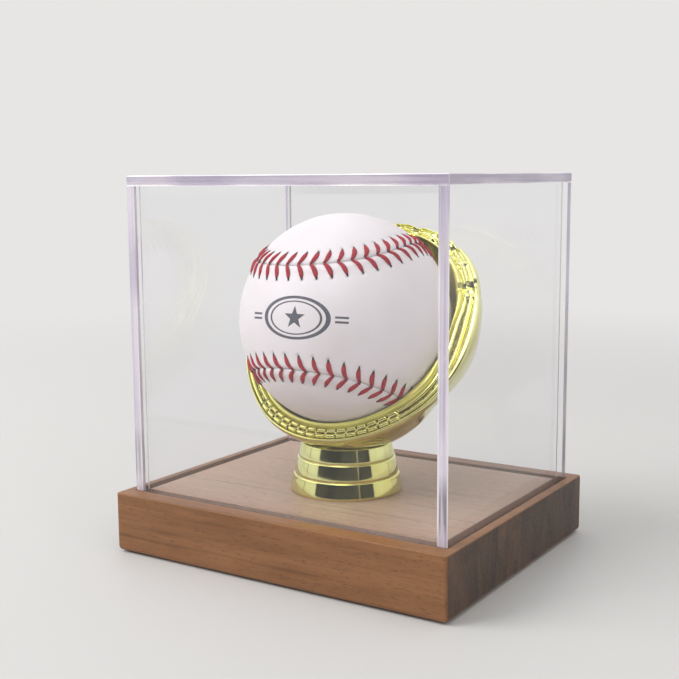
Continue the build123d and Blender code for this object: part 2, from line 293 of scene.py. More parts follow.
ballLook = {
    "leather": (0.860, 0.810, 0.835), "leatherWarm": (0.800, 0.745, 0.750), "leatherGloss": (0.42, 0.54),
    "cloudScale": 45, "pebbleScale": 1500, "grainScale": 2600, "grainShare": 0.14, "grainDepth": 0.06 * mm,
    "coat": 0.08, "coatGloss": 0.35, "ink": (0.030, 0.036, 0.060), "inkWear": (0.55, 0.93),
    "thread": (0.430, 0.022, 0.040), "threadDark": (0.150, 0.010, 0.018), "threadTipShade": (0.030, 0.016, 0.018),
    "threadGloss": (0.5, 0.7), "plyScale": 2.2, "plyShare": 0.45, "plyDepth": 0.08 * mm, "threadShine": 0.25,
}
printShape = {  # a ring of two lines with a star in it and two bars each side; aim in degrees, the rest in mm
    "aim": (-27.0, 7.5), "ring": (11.4, 6.6), "lines": ((1.0, 0.066), (0.80, 0.033)),  # shares of the ring
    "points": 5, "star": (1.55, 3.9), "bar": (15.4, 4.0, 0.70), "barLevel": 0.75,
}


def inkMask(tree):  # 1 where the ball is printed
    def calc(operation, a, b=0.0):
        return maths(tree, operation, a, b)

    def near(a, b, width):
        return calc("LESS_THAN", calc("ABSOLUTE", calc("SUBTRACT", a, b)), width)

    shape = printShape
    low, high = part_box("ball_winding")
    coords = addNode(tree, "TexCoord").outputs["Object"]
    view = (Matrix.Rotation(radians(cameraPlace["yaw"] + shape["aim"][0]), 3, "Z")
            @ Matrix.Rotation(radians(-shape["aim"][1]), 3, "X"))
    middle = {"operation": "SUBTRACT", 1: (low + high) / 2}
    local = addNode(tree, "VectorMath", middle, {0: coords}).outputs["Vector"]
    across, up, out = [dot(tree, local, view @ Vector(axis)) for axis in ((1, 0, 0), (0, 0, 1), (0, -1, 0))]
    u, v = calc("MULTIPLY", across, 1 / mm), calc("MULTIPLY", up, 1 / mm)
    long, tall = shape["ring"]
    squares = [calc("POWER", calc("ABSOLUTE", calc("DIVIDE", place, half)), 2.0)
               for place, half in ((u, long), (v, tall))]
    far = calc("SQRT", calc("ADD", *squares))  # 1 on the outer line
    masks = [near(far, size, width) for size, width in shape["lines"]]
    points, (inner, outer) = shape["points"], shape["star"]
    turns = calc("MULTIPLY", calc("ADD", calc("ARCTAN2", u, v), pi), points / (2 * pi))
    turn = calc("ABSOLUTE", calc("SUBTRACT", calc("FRACT", turns), 0.5))  # 0 at a point, 0.5 at a valley
    reach = calc("SQRT", calc("ADD", calc("MULTIPLY", u, u), calc("MULTIPLY", v, v)))
    spin = calc("MULTIPLY", turn, 2 * pi / points)
    slope = calc("ADD", calc("MULTIPLY", calc("COSINE", spin), inner * sin(pi / points)),
                 calc("MULTIPLY", calc("SINE", spin), outer - inner * cos(pi / points)))
    edge = calc("DIVIDE", outer * inner * sin(pi / points), slope)
    masks.append(calc("LESS_THAN", reach, edge))
    start, length, thick = shape["bar"]
    inBar = near(calc("ABSOLUTE", u), start, length / 2)
    for level in (-shape["barLevel"], shape["barLevel"]):
        masks.append(calc("MULTIPLY", inBar, near(v, level, thick / 2)))
    total = masks[0]
    for mask in masks[1:]:
        total = calc("MAXIMUM", total, mask)
    return calc("MULTIPLY", total, calc("GREATER_THAN", out, 0.0))


def makeLeather():
    look = ballLook
    coat = {"Coat Weight": look["coat"], "Coat Roughness": look["coatGloss"]}
    mat, tree, skin = startMaterial("ballLeather", coat)
    place = objectPlace(tree)
    cloud = noise(tree, place, look["cloudScale"], 4, 0.55)
    cells = {"Scale": look["pebbleScale"], "feature": "SMOOTH_F1"}
    pebble = addNode(tree, "TexVoronoi", cells, {"Vector": place}).outputs["Distance"]
    grain = noise(tree, place, look["grainScale"], 3, 0.6)
    tone = ramp(tree, cloud, ((0.30, look["leatherWarm"]), (0.62, look["leather"])))
    tone = mixTone(tree, look["grainShare"], tone, greys(tree, grain, (0.3, 0.6), (0.7, 1)), "MULTIPLY")
    worn, whole = look["inkWear"]
    ink = times(tree, inkMask(tree), greys(tree, grain, (0.28, worn), (0.42, whole)))
    dress(tree, skin, mixTone(tree, ink, tone, look["ink"]), cloud, look["leatherGloss"])
    relief = maths(tree, "ADD", times(tree, pebble, 0.6), times(tree, grain, 0.5))
    bump(tree, skin, relief, look["grainDepth"], 0.55)
    return mat


def makeThread():  # the twist follows the piece's own UV: x along the leg, y round it
    look = ballLook
    mat, tree, skin = startMaterial("redThread", {"Specular IOR Level": look["threadShine"]})
    twist = addNode(tree, "UVMap", {"uv_map": "twist"}).outputs["UV"]
    ply = addNode(tree, "TexWave", {"Scale": look["plyScale"], "Distortion": 0.6, "Detail": 2.0,
                                    "bands_direction": "DIAGONAL"}, {"Vector": twist}).outputs["Fac"]
    # painted shade: each leg darkens towards its ends, where the thread sinks into the seam and the stitch
    # hole
    tipShade = greys(tree, splitVector(tree, twist)["X"], (0.0, 0.55), (0.10, 0), (0.74, 0), (0.90, 1))
    tone = mixTone(tree, times(tree, ply, look["plyShare"]), look["thread"], look["threadDark"])
    dress(tree, skin, mixTone(tree, tipShade, tone, look["threadTipShade"]), ply, look["threadGloss"], (0, 1))
    bump(tree, skin, ply, look["plyDepth"], 0.8)
    return mat


def makePlain(name, pale, dark, scale, rough, metal=0.0, relief=0.04 * mm):  # for the hidden pieces
    mat, tree, skin = startMaterial(name, {"Metallic": metal})
    cloud = noise(tree, objectPlace(tree), scale, 5, 0.6)
    tone = ramp(tree, cloud, ((0.32, dark), (0.66, pale)))
    dress(tree, skin, tone, cloud, (rough - 0.08, rough + 0.08))
    bump(tree, skin, cloud, relief, 0.6)
    return mat


finish = {
    "wood": makeWood(),
    "gold_plating": makeGold("goldPlating", 0.008 * mm, 260),
    "ball_leather": makeLeather(),
    "red_thread": makeThread(),
    "acrylic": makePane(),
    "yarn": makePlain("woundYarn", (0.55, 0.50, 0.42), (0.30, 0.27, 0.23), 900, 0.85, relief=0.3 * mm),
    "pill_rubber": makePlain("pillRubber", (0.20, 0.03, 0.03), (0.10, 0.015, 0.015), 300, 0.6),
    "pad_rubber": makePlain("padRubber", (0.045, 0.044, 0.043), (0.025, 0.024, 0.024), 700, 0.7),
    "steel": makePlain("steel", (0.62, 0.61, 0.60), (0.45, 0.44, 0.43), 500, 0.3, 1.0),
    "insert_brass": makePlain("insertBrass", (0.75, 0.55, 0.24), (0.55, 0.38, 0.14), 500, 0.32, 1.0),
}
# painted light: a brighter, less metallic copy of the gold for the inside of the pocket
pocketLitGold = makeGold("pocketLitGold", 0.04 * mm, 300, goldLook["pocketMetal"], goldLook["pocketLitTone"],
                      goldLook["pocketGloss"])
mottledGold = makeGold("mottledGold", 0.12 * mm, 330)
# painted reflection on the upright and level edges, painted highlight on the bevels, painted light over the
# feet
uprightEdge = makeEdge("uprightEdge", "edgePale", "edgeDeep", alpha=0.92, streaks=(700, 700, 14), baseReflection=0.8)
levelEdge = makeEdge("levelEdge", "topPale", "topDeep", alpha=0.92, streaks=(14, 14, 700))
paneBevelHighlight = makeEdge("edgeBevelHighlight", "bevelHighlightTone", "edgePale", alpha=1.0, streaks=(30, 30, 30))
paneFootLit = makeEdge("paneFootLit", "footLitPale", "footLitDeep", alpha=0.40, streaks=(60, 60, 200))
slotOf = {part["node"]: part["material_slot"] for part in frame["record"]["subparts"]}
for name, node in nodes.items():
    node.data.materials.clear()
    node.data.materials.append(finish[slotOf[name]])
print("finishes:", len(finish))


def linked(name, data):
    made = bpy.data.objects.new(name, data)
    bpy.context.scene.collection.objects.link(made)
    return made


def newPiece(name, bm, body, materials, replaced=()):
    mesh = bpy.data.meshes.new(name)
    bm.to_mesh(mesh)
    bm.free()
    for mat in materials:
        mesh.materials.append(mat)
    piece = linked(name, mesh)
    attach(piece, body)
    if replaced:
        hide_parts(*replaced)
    return piece


# Cover: five sheets a hair apart, with bevelled, polished edges

# An edge seen through its own sheet looks narrower, so its inner part stays clear
sheetShape = {"bondGap": 0.02 * mm, "bevel": 0.28 * mm, "shownEdge": 0.46}


def coverSheet(node):
    low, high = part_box(node)
    size, middle = high - low, (low + high) / 2
    gap = sheetShape["bondGap"]
    thin = min(range(3), key=lambda axis: size[axis])
    upright = thin != 2
    outward = 1 if middle[thin] > 0 else -1
    split = middle[thin] + outward * size[thin] * (0.5 - sheetShape["shownEdge"])
    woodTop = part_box("base_block")[1].z
    bm = bmesh.new()
    bmesh.ops.create_cube(bm, size=1)
    bmesh.ops.scale(bm, vec=size - Vector((gap, gap, gap)), verts=bm.verts)
    bmesh.ops.translate(bm, vec=middle, verts=bm.verts)
    bmesh.ops.bevel(bm, geom=bm.edges[:], offset=sheetShape["bevel"], segments=1, profile=0.5,
                    affect="EDGES", material=-1)
    if upright:
        normal = Vector([float(axis == thin) for axis in range(3)])
        for point, across in ((Vector((0, 0, woodTop)), Vector((0, 0, 1))), (normal * split, normal)):
            bmesh.ops.bisect_plane(bm, geom=bm.verts[:] + bm.edges[:] + bm.faces[:], plane_co=point,
                                   plane_no=across, dist=1e-7)
    pane, edge, bevelled, foot = range(4)
    for face in bm.faces:
        place = face.calc_center_median()
        flat = max(abs(value) for value in face.normal) > 0.99
        facesFront = thin == 0 and face.normal.y < -0.99
        deep = (place[thin] - split) * outward < 0
        # the feet inside the groove get painted light that hides the groove's shade
        if upright and place.z < woodTop:
            face.material_index = foot
        # bevels on the top sheet and on the front get a painted highlight, the rest stay clear
        elif not flat:
            face.material_index = bevelled if not upright or place.y < 0 else pane
        elif abs(face.normal[thin]) < 0.5:
            face.material_index = pane if upright and deep and not facesFront else edge
    materials = [finish["acrylic"], uprightEdge if upright else levelEdge, paneBevelHighlight, paneFootLit]
    newPiece(node + "_sheet", bm, "cover", materials, (node,))


for node in ("cover_front", "cover_back", "cover_left", "cover_right", "cover_top"):
    coverSheet(node)
print("cover sheets made")


# Ball: the seam line, two leather panels with a welt each side of it, and the stitches

ballShape = {
    "leather": 1.6 * mm, "seamWave": 0.50, "seamRise": 0.969, "spin": 47.15, "tilt": 7.3, "turn": 5.2,
    "seamSteps": 1600, "stitches": 88,
    "weltHeight": 0.30 * mm, "weltPlace": 1.9 * mm, "weltWidth": 1.5 * mm,
    "grooveDepth": 0.40 * mm, "grooveWidth": 0.34 * mm, "wallInside": 1.1 * mm,
    "coarseLevel": 6, "fineReach": (8.0 * mm, 7.2 * mm), "holeWidth": 0.50 * mm, "holeDepth": 0.50 * mm,
}
stitchShape = {  # reach and slant have one value for each side of the seam
    "reach": (6.1 * mm, 5.6 * mm), "slant": (26.0, 20.0), "start": 0.15 * mm, "bow": 0.55 * mm,
    "bowPower": 0.8, "sway": 0.07 * mm, "fatness": (0.92, 1.08), "width": 0.82 * mm, "endWidth": 0.30,
    "widthRun": (0.14, 0.70), "taperFrom": 0.70, "taper": 0.62, "flatness": 0.62,
    "rise": 0.28 * mm, "riseRun": (0.25, 0.75), "sunk": 0.1 * mm, "sides": 8, "cuts": 7,
}
windingLow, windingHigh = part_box("ball_winding")
ballCentre = (windingLow + windingHigh) / 2
ballRadius = (windingHigh.x - windingLow.x) / 2 + ballShape["leather"]
ballTurn = (Matrix.Rotation(radians(-ballShape["turn"]), 3, "Z")
            @ Matrix.Rotation(radians(90 - ballShape["tilt"]), 3, "X")
            @ Matrix.Rotation(radians(ballShape["spin"]), 3, "Z"))


def seamDirection(share):
    a = 2 * pi * share
    x = cos(a) + ballShape["seamWave"] * cos(3 * a)
    y = sin(a) - ballShape["seamWave"] * sin(3 * a)
    return (ballTurn @ Vector((x, y, ballShape["seamRise"] * sin(2 * a)))).normalized()


seamLine = [seamDirection(k / ballShape["seamSteps"]) for k in range(ballShape["seamSteps"])]
seamNext = seamLine[1:] + seamLine[:1]
seamAlong = [(after - seamLine[k - 1]).normalized() for k, after in enumerate(seamNext)]


def searchTree(spots):
    tree = kdtree.KDTree(len(spots))
    for k, spot in enumerate(spots):
        tree.insert(spot, k)
    tree.balance()
    return tree


def seamSteps(count):  # places at equal arc length, as (direction, along)
    lengths = [(after - spot).length for spot, after in zip(seamLine, seamNext)]
    total = sum(lengths)
    wanted, run, found = 0, 0.0, []
    for k, length in enumerate(lengths):
        while wanted < count and run + length >= total * wanted / count:
            share = (total * wanted / count - run) / length
            along = seamAlong[k].lerp(seamAlong[(k + 1) % len(seamLine)], share)
            found.append((seamLine[k].lerp(seamNext[k], share).normalized(), along.normalized()))
            wanted += 1
        run += length
    return found


stitchPlaces = seamSteps(ballShape["stitches"])


def stitchRuns():  # the two legs of each stitch, as (spot, along, leg, reach)
    for spot, along in stitchPlaces:
        for side, reach, angle in zip((1, -1), stitchShape["reach"], stitchShape["slant"]):
            slant = Matrix.Rotation(radians(side * angle), 3, spot)
            yield spot, along, slant @ (spot.cross(along) * side), reach


def towards(spot, leg, run):
    return (spot * cos(run) + leg * sin(run)).normalized()


seamTree = searchTree(seamLine)
holeTree = searchTree([towards(spot, leg, reach / ballRadius) for spot, along, leg, reach in stitchRuns()])


def seamDistance(direction):  # signed, measured along the leather
    spot, k, gap = seamTree.find(direction)
    side = 1 if (direction - spot).dot(spot.cross(seamAlong[k])) > 0 else -1
    return side * gap * ballRadius


def weltRise(away):
    return ballShape["weltHeight"] * exp(-(((away - ballShape["weltPlace"]) / ballShape["weltWidth"]) ** 2))


def leatherRise(distance, direction):  # how far the leather stands above the plain ball
    shape, away = ballShape, abs(distance)
    groove = shape["grooveDepth"] * exp(-((away / shape["grooveWidth"]) ** 2))
    gap = holeTree.find(direction)[2] * ballRadius
    return weltRise(away) - groove - shape["holeDepth"] * exp(-((gap / shape["holeWidth"]) ** 2))


def ballPanels():
    bm = bmesh.new()
    bmesh.ops.create_icosphere(bm, subdivisions=ballShape["coarseLevel"], radius=1)
    for reach in ballShape["fineReach"]:
        near = [f for f in bm.faces if abs(seamDistance(f.calc_center_median().normalized())) < reach]
        edges = list({e for f in near for e in f.edges})
        bmesh.ops.subdivide_edges(bm, edges=edges, cuts=1, use_grid_fill=True)
        bmesh.ops.triangulate(bm, faces=[f for f in bm.faces if len(f.verts) > 3])
        for v in bm.verts:
            v.co.normalize()
    away = {v: seamDistance(v.co) for v in bm.verts}
    for e in bm.edges:  # the nearer end of each edge that crosses the seam moves on to it
        a, b = e.verts
        if away[a] * away[b] < 0:
            v = a if abs(away[a]) < abs(away[b]) else b
            v.co = seamTree.find(v.co)[0]
            away[v] = 0.0
    for v in bm.verts:
        v.co = v.co * (ballRadius + leatherRise(away[v], v.co))
    bm.faces.index_update()
    keepA = {f.index for f in bm.faces if sum(away[v] for v in f.verts) > 0}
    for name, node, wanted in (("panelA", "ball_panel_a", True), ("panelB", "ball_panel_b", False)):
        half = bm.copy()
        half.faces.ensure_lookup_table()
        drop = [f for f in half.faces if (f.index in keepA) != wanted]
        bmesh.ops.delete(half, geom=drop, context="FACES")
        bmesh.ops.translate(half, vec=ballCentre, verts=half.verts)
        bmesh.ops.recalc_face_normals(half, faces=half.faces)
        outward = sum((f.normal.dot(f.calc_center_median() - ballCentre) > 0) for f in half.faces)
        if outward * 2 < len(half.faces):
            bmesh.ops.reverse_faces(half, faces=half.faces)
        for f in half.faces:
            f.smooth = True
        piece = newPiece(name, half, "ball", [finish["ball_leather"]], (node,))
        wall = piece.modifiers.new("wall", "SOLIDIFY")
        wall.thickness = ballShape["wallInside"]
        wall.offset = -1
    bm.free()


ballPanels()
print("ball panels made")


def legTemplate():  # a short tube along Z, closed at both ends, with its twist as UV
    shape = stitchShape
    bm = bmesh.new()
    bmesh.ops.create_cone(bm, cap_ends=True, segments=shape["sides"], radius1=1, radius2=1, depth=1)
    runs = [e for e in bm.edges if abs(e.verts[0].co.z - e.verts[1].co.z) > 0.5]
    bmesh.ops.subdivide_edges(bm, edges=runs, cuts=shape["cuts"])
    twist = bm.loops.layers.uv.new("twist")
    for face in bm.faces:
        face.smooth = True
        middle = face.calc_center_median()
        for loop in face.loops:
            x, y, z = loop.vert.co
            turn = atan2(y, x) / (2 * pi)
            if middle.x < 0 and abs(middle.y) < 0.5 and turn < 0:  # where the turn starts again
                turn += 1
            loop[twist].uv = (z + 0.5, turn)
    return bm


def swellAlong(share, run):  # a half wave that starts a little way in
    start, length = run
    return sin(pi * min(1, start + length * share))


def stitchLegs():
    shape = stitchShape
    bm = bmesh.new()
    bm.loops.layers.uv.new("twist")
    template = legTemplate()
    plain = bpy.data.meshes.new("plainLeg")
    template.to_mesh(plain)
    template.free()
    rng = random.Random(4)
    for spot, along, leg, reach in stitchRuns():
        lean = 1 if leg.dot(along) > 0 else -1
        sway = rng.uniform(-1, 1) * shape["sway"]
        fat = rng.uniform(*shape["fatness"])
        first = len(bm.verts)
        bm.from_mesh(plain)
        bm.verts.ensure_lookup_table()
        for v in bm.verts[first:]:
            share = v.co.z + 0.5
            run = (shape["start"] + (reach - shape["start"]) * share) / ballRadius
            bow = shape["bow"] * sin(pi * share ** shape["bowPower"]) + sway * share
            centre = (towards(spot, leg, run) + along * lean * bow / ballRadius).normalized()
            across = centre.cross(leg).normalized()
            swell = swellAlong(share, shape["widthRun"])
            width = shape["width"] * fat * (shape["endWidth"] + (1 - shape["endWidth"]) * swell)
            width *= 1 - shape["taper"] * max(0, share - shape["taperFrom"]) / (1 - shape["taperFrom"])
            rise = shape["rise"] * swellAlong(share, shape["riseRun"]) - shape["sunk"]
            rise += weltRise(run * ballRadius) + v.co.y * width * shape["flatness"]
            v.co = ballCentre + centre * (ballRadius + rise) + across * v.co.x * width
    bpy.data.meshes.remove(plain)
    newPiece("seamStitches", bm, "ball", [finish["red_thread"]], ("ball_stitching",))


stitchLegs()
print("stitches made:", 2 * ballShape["stitches"])


# Glove: worked in its own axes, x across, y towards the finger tips, z out of the pocket

gloveShape = {  # millimetres and degrees, about the ball's centre; the last two in metres
    "tilt": 37.0, "axisRise": 2.2, "pocketRadius": 40.5, "pocketLift": 1.93, "wall": 2.2, "shellRadius": 46.6,
    "rimLevel": -6.3, "laceRadius": 43, "settle": (-24, -9), "tipStart": 19.0, "tipFall": 0.105,
    "tipEase": (14, 30), "gaps": (25.0, 52.0, 78.0, 103.0, 128.0), "gapDepth": 1.5, "gapWidth": 1.5,
    "notchDrop": 1.5, "notchIn": 0.8, "notchWidth": 1.7, "seatLevel": 36.72, "plugRadius": 12.0,
    "ballLift": 9.0 * mm, "ballRoom": 0.75 * mm,
}
# Where the rim's parts lie: the angle, then the radii of inner roll, two cords and outer edge
rimRows = (
    (5, 37.5, 38.9, 41.9, 46.1), (14, 38.0, 40.6, 42.8, 46.1), (24, 38.2, 42.1, 43.6, 46.4),
    (35, 38.7, 42.1, 43.6, 46.6), (50, 39.4, 42.1, 43.6, 45.7), (65, 40.0, 42.0, 43.3, 45.1),
    (80, 40.3, 42.2, 43.3, 45.0), (100, 40.3, 42.2, 43.3, 45.0), (115, 40.0, 42.0, 43.3, 45.1),
    (130, 39.4, 42.1, 43.5, 45.4), (145, 38.7, 42.0, 43.5, 46.0), (156, 38.2, 42.0, 43.5, 46.0),
    (166, 38.0, 40.6, 42.8, 45.6), (175, 37.5, 39.2, 42.0, 45.2), (188, 37.4, 39.6, 42.2, 45.0),
    (200, 37.8, 40.4, 42.9, 44.8), (213, 38.2, 40.8, 43.0, 44.5), (226, 38.6, 41.0, 43.1, 44.7),
    (240, 39.0, 41.7, 43.8, 45.8), (255, 39.2, 41.9, 44.0, 46.3), (270, 39.3, 41.9, 44.0, 46.3),
    (285, 39.2, 41.9, 44.0, 46.3), (300, 39.0, 41.9, 44.1, 46.5), (311, 38.8, 42.0, 44.4, 46.8),
    (322, 38.6, 42.5, 45.1, 47.2), (332, 38.4, 42.3, 44.9, 47.0), (342, 38.0, 40.6, 43.6, 46.6),
    (353, 37.6, 39.1, 42.3, 46.2),
)
# How far the shell stands out of a plain ball: the angle, then the height
shellRows = (
    (5, -0.2), (15, -0.1), (25, 0.4), (33, 0.8), (42, 0.3), (60, 0.0), (90, 0.1), (120, 0.0), (140, 0.5),
    (155, 0.3), (175, -0.3), (195, -1.0), (213, -2.0), (226, -0.7), (240, 0.5), (255, 1.0), (270, 0.7),
    (285, 0.6), (302, 0.5), (314, -0.8), (327, -2.5), (341, -1.4), (355, -0.4),
)


def smoothTable(rows):  # one smoothed row for each degree
    table = []
    for degree in range(360):
        after = next((k for k, row in enumerate(rows) if row[0] > degree), len(rows))
        low, high = rows[after - 1], rows[after % len(rows)]
        span = (high[0] - low[0]) % 360
        share = ((degree - low[0]) % 360) / span
        table.append([a + (b - a) * share for a, b in zip(low[1:], high[1:])])
    for turn in range(3):
        table = [[sum(table[(k + j) % 360][c] for j in range(-3, 4)) / 7 for c in range(len(table[0]))]
                 for k in range(360)]
    return table


rimTable, shellTable = smoothTable(rimRows), smoothTable(shellRows)


def fromTable(table, degree):
    low = int(degree) % 360
    share = degree - int(degree)
    return [a + (b - a) * share for a, b in zip(table[low], table[(low + 1) % 360])]


def through(value, knots):  # piecewise straight map through (from, to) pairs
    for (a, fa), (b, fb) in zip(knots, knots[1:]):
        if value <= b:
            return fa + (fb - fa) * (value - a) / (b - a)
    return value + knots[-1][1] - knots[-1][0]


def ease(value, low, high):
    share = min(1, max(0, (value - low) / (high - low)))
    return share * share * (3 - 2 * share)


def gapNearness(degree, radius, width):  # 1 in the middle of a gap between fingers
    away = min(abs(degree - gap) for gap in gloveShape["gaps"])
    return exp(-((radians(away) * radius / width) ** 2))


def rimNotch(degree):
    return gapNearness(degree, gloveShape["laceRadius"], gloveShape["notchWidth"])


def rimSettle(degree, y):  # the rim falls back at the finger tips and drops between them
    shape = gloveShape
    fall = shape["tipFall"] * max(0, y - shape["tipStart"]) * ease(y, *shape["tipEase"])
    return -fall - shape["notchDrop"] * rimNotch(degree)


tiltCos, tiltSin = cos(radians(gloveShape["tilt"])), sin(radians(gloveShape["tilt"]))
gloveTurn = Matrix(((1, 0, 0), (0, tiltSin, -tiltCos), (0, tiltCos, tiltSin)))


def gloveSpot(degree, radius, z):  # from the glove's axes to the scene's, in metres
    a = radians(degree)
    place = Vector((radius * cos(a), radius * sin(a) + gloveShape["axisRise"], z)) * mm
    return ballCentre + gloveTurn @ place


def clearOfBall(place):  # moves a point out of the space that the ball needs as it lifts
    lift = min(gloveShape["ballLift"], max(0, place.z - ballCentre.z))
    nearest = ballCentre + Vector((0, 0, lift))
    away, room = place - nearest, ballRadius + gloveShape["ballRoom"]
    return nearest + away.normalized() * room if away.length < room else place


def spunProfile(profile, steps, closed):
    bm = bmesh.new()
    line = [bm.verts.new((rho, 0, z)) for rho, z in profile]
    edges = [bm.edges.new(pair) for pair in zip(line, line[1:])]
    if closed:
        edges.append(bm.edges.new((line[-1], line[0])))
    bmesh.ops.spin(bm, geom=line + edges, angle=2 * pi, steps=steps, axis=(0, 0, 1), cent=(0, 0, 0),
                   use_merge=True, dvec=(0, 0, 0))
    bmesh.ops.remove_doubles(bm, verts=bm.verts, dist=0.0005)
    bmesh.ops.recalc_face_normals(bm, faces=bm.faces)
    for face in bm.faces:
        face.smooth = True
    return bm


def ballArc(radius, lift, first, last, step):  # points of a meridian, in degrees from the deepest point
    count = max(2, round(abs(last - first) / step))
    angles = [radians(first + (last - first) * k / count) for k in range(count + 1)]
    return [(radius * sin(a), lift - radius * cos(a)) for a in angles]


# The lip's section, as (radius, height over the rim): inner roll, floor for the lacing, outer roll
pocketLip = (
    (39.28, -0.9), (39.30, -0.3), (39.42, 0.15), (39.68, 0.5), (40.0, 0.62), (40.35, 0.5), (40.62, 0.15),
    (40.78, -0.4), (40.9, -1.3), (42.95, -1.3), (45.0, -1.3), (45.08, -0.7), (45.2, -0.3), (45.45, -0.08),
    (45.75, -0.12), (46.02, -0.4), (46.22, -0.85), (46.3, -1.4), (46.28, -2.0), (46.1, -2.5), (45.7, -2.85),
    (45.1, -3.05), (43.4, -3.3),
)
pocketShape = {  # arcs are (reach, step) of the inside and of the outside
    "arcs": ((76, 2), (74, 5)), "steps": 300, "fanCentre": 47, "fanPitch": 5.2, "ridge": 0.42,
    "ridgeStart": (-27, -18), "ridgeEnd": (-8.6, -7.2), "ridgeSide": (-8, 8), "notchStart": (-12, -7),
}


def glovePocket():
    shape, form = gloveShape, pocketShape
    radius, lift = shape["pocketRadius"], shape["pocketLift"]
    (inReach, inStep), (outReach, outStep) = form["arcs"]
    profile = ballArc(radius, lift, 0, inReach, inStep)
    profile += [(rho, shape["rimLevel"] + z) for rho, z in pocketLip]
    profile += ballArc(radius + shape["wall"], lift, outReach, 0, outStep)
    bm = spunProfile(profile, form["steps"], False)
    for v in bm.verts:
        rho, z = v.co.xy.length, v.co.z
        if rho < 0.01:
            v.co = gloveSpot(0, 0, z)
            continue
        degree = degrees(atan2(v.co.y, v.co.x)) % 360
        inner, first, second, outer = fromTable(rimTable, degree)
        knots = ((0, 0), (27, 27), (39.3, inner), (40.9, first - 1.0), (45.0, second + 1.0), (46.3, outer))
        place = through(rho, knots)  # the lip's parts move to their places
        y = place * sin(radians(degree))
        if (v.co - Vector((0, 0, lift))).length < radius + 0.4:  # a fan of ridges on the inside
            fan = degrees(atan2(place * cos(radians(degree)), y + form["fanCentre"]))
            ridge = 0.5 + 0.5 * cos(2 * pi * fan / form["fanPitch"])
            fade = ease(z, *form["ridgeStart"]) * (1 - ease(z, *form["ridgeEnd"]))
            place -= form["ridge"] * ridge ** 2 * fade * ease(y, *form["ridgeSide"])
        z += rimSettle(degree, y) * ease(z, *shape["settle"])
        place -= shape["notchIn"] * rimNotch(degree) * ease(z, *form["notchStart"])
        v.co = clearOfBall(gloveSpot(degree, place, z))
    for face in bm.faces:  # the inside gets its own paler, less metallic gold: painted light standing in for light bounced between ball and pocket
        place = face.calc_center_median() - ballCentre
        isInside = place.length < (radius + 1.2) * mm and place.z < 40 * mm
        face.material_index = 1 if isInside else 0
    materials = [finish["gold_plating"], pocketLitGold]
    newPiece("glovePocket", bm, "stand", materials, ("glove_palm",))


shellShape = {  # uneven is (scale, height) of each noise
    "arcs": ((78.6, 1.3), (77, 6)), "lip": ((45.5, -9.05), (45.1, -8.95), (44.6, -8.95), (44.3, -9.1)),
    "steps": 360, "bulge": (18, 50), "groove": (20, 40), "uneven": ((0.16, 0.22), (0.55, 0.07)),
    "tuck": 0.5, "tuckStart": (72, 79), "lipRadius": 46.3, "lipStart": (66, 78), "lower": 0.1,
    "plugTaper": 0.4, "plugDepth": 3.4,
}


def gloveFingers():
    shape, form = gloveShape, shellShape
    (outReach, outStep), (inReach, inStep) = form["arcs"]
    radius = shape["shellRadius"]
    profile = ballArc(radius, 0, 0, outReach, outStep) + list(form["lip"])
    profile += ballArc(radius - shape["wall"], 0, inReach, 0, inStep)
    bm = spunProfile(profile, form["steps"], False)
    for v in bm.verts:
        rho, z = v.co.xy.length, v.co.z
        degree = degrees(atan2(v.co.y, v.co.x)) % 360 if rho > 0.01 else 0.0
        depth = degrees(atan2(rho, -z))
        push = fromTable(shellTable, degree)[0] * ease(depth, *form["bulge"])
        if v.co.length > radius - 1.0:  # the outside is grooved and uneven
            groove = gapNearness(degree, rho, shape["gapWidth"]) * ease(depth, *form["groove"])
            push -= shape["gapDepth"] * groove
            for size, height in form["uneven"]:
                push += height * noise3.noise(v.co * size)
        scale = 1 + push / radius
        edge = rimSettle(degree, rho * sin(radians(degree))) * ease(z, *shape["settle"])
        tuck = form["tuck"] * ease(depth, *form["tuckStart"])
        lipGap = fromTable(rimTable, degree)[3] - form["lipRadius"]
        place = rho * scale - tuck + lipGap * ease(depth, *form["lipStart"])
        v.co = gloveSpot(degree, place, z * scale + edge - form["lower"])
        v.co.z = max(v.co.z, shape["seatLevel"] * mm)
    width, depth = shape["plugRadius"], form["plugDepth"]
    plug = bmesh.ops.create_cone(bm, cap_ends=True, segments=96, radius1=width * mm,
                                 radius2=(width - form["plugTaper"]) * mm, depth=depth * mm)["verts"]
    seat = Vector((0, ballCentre.y, (shape["seatLevel"] + depth / 2) * mm))
    bmesh.ops.translate(bm, vec=seat, verts=plug)
    newPiece("gloveFingers", bm, "stand", [mottledGold], ("glove_back",))


laceShape = {  # millimetres and degrees; a knot is (angle, size)
    "padded": (233.6, 311.2), "pads": 15, "padHeight": 1.35, "padHalf": 0.44, "padEnd": (0.12, 0.50),
    "crossHeight": 0.95, "crossWidth": 0.34, "crossSlope": 1.25, "crossReach": (0.8, 0.9),
    "pipingEnd": 19.0, "pipingHeight": 1.35, "pipingHalf": 0.33, "tieHeight": 1.2, "tieHalf": 0.52,
    "wander": (0.16, 9), "rope": (0.12, 120, 3), "knotHeight": 1.35, "lump": (0.55, 0.55, 2.1),
    "knots": ((20.5, 2.5), (159.5, 2.5), (40, 1.7), (66, 1.7), (91, 1.7), (116, 1.7), (140, 1.7)),
    "slit": (0.10, 0.50), "tied": ((13, 19), (161, 167)), "tiedShare": 0.75,
    "base": -7.6, "depth": 0.96, "columns": 42, "steps": 1080, "spinRadius": 50,
}


def cordRise(v, half):  # two half round cords side by side
    return max(max(0, 1 - ((v - c) / half) ** 2) ** 0.38 for c in (-0.5, 0.5))


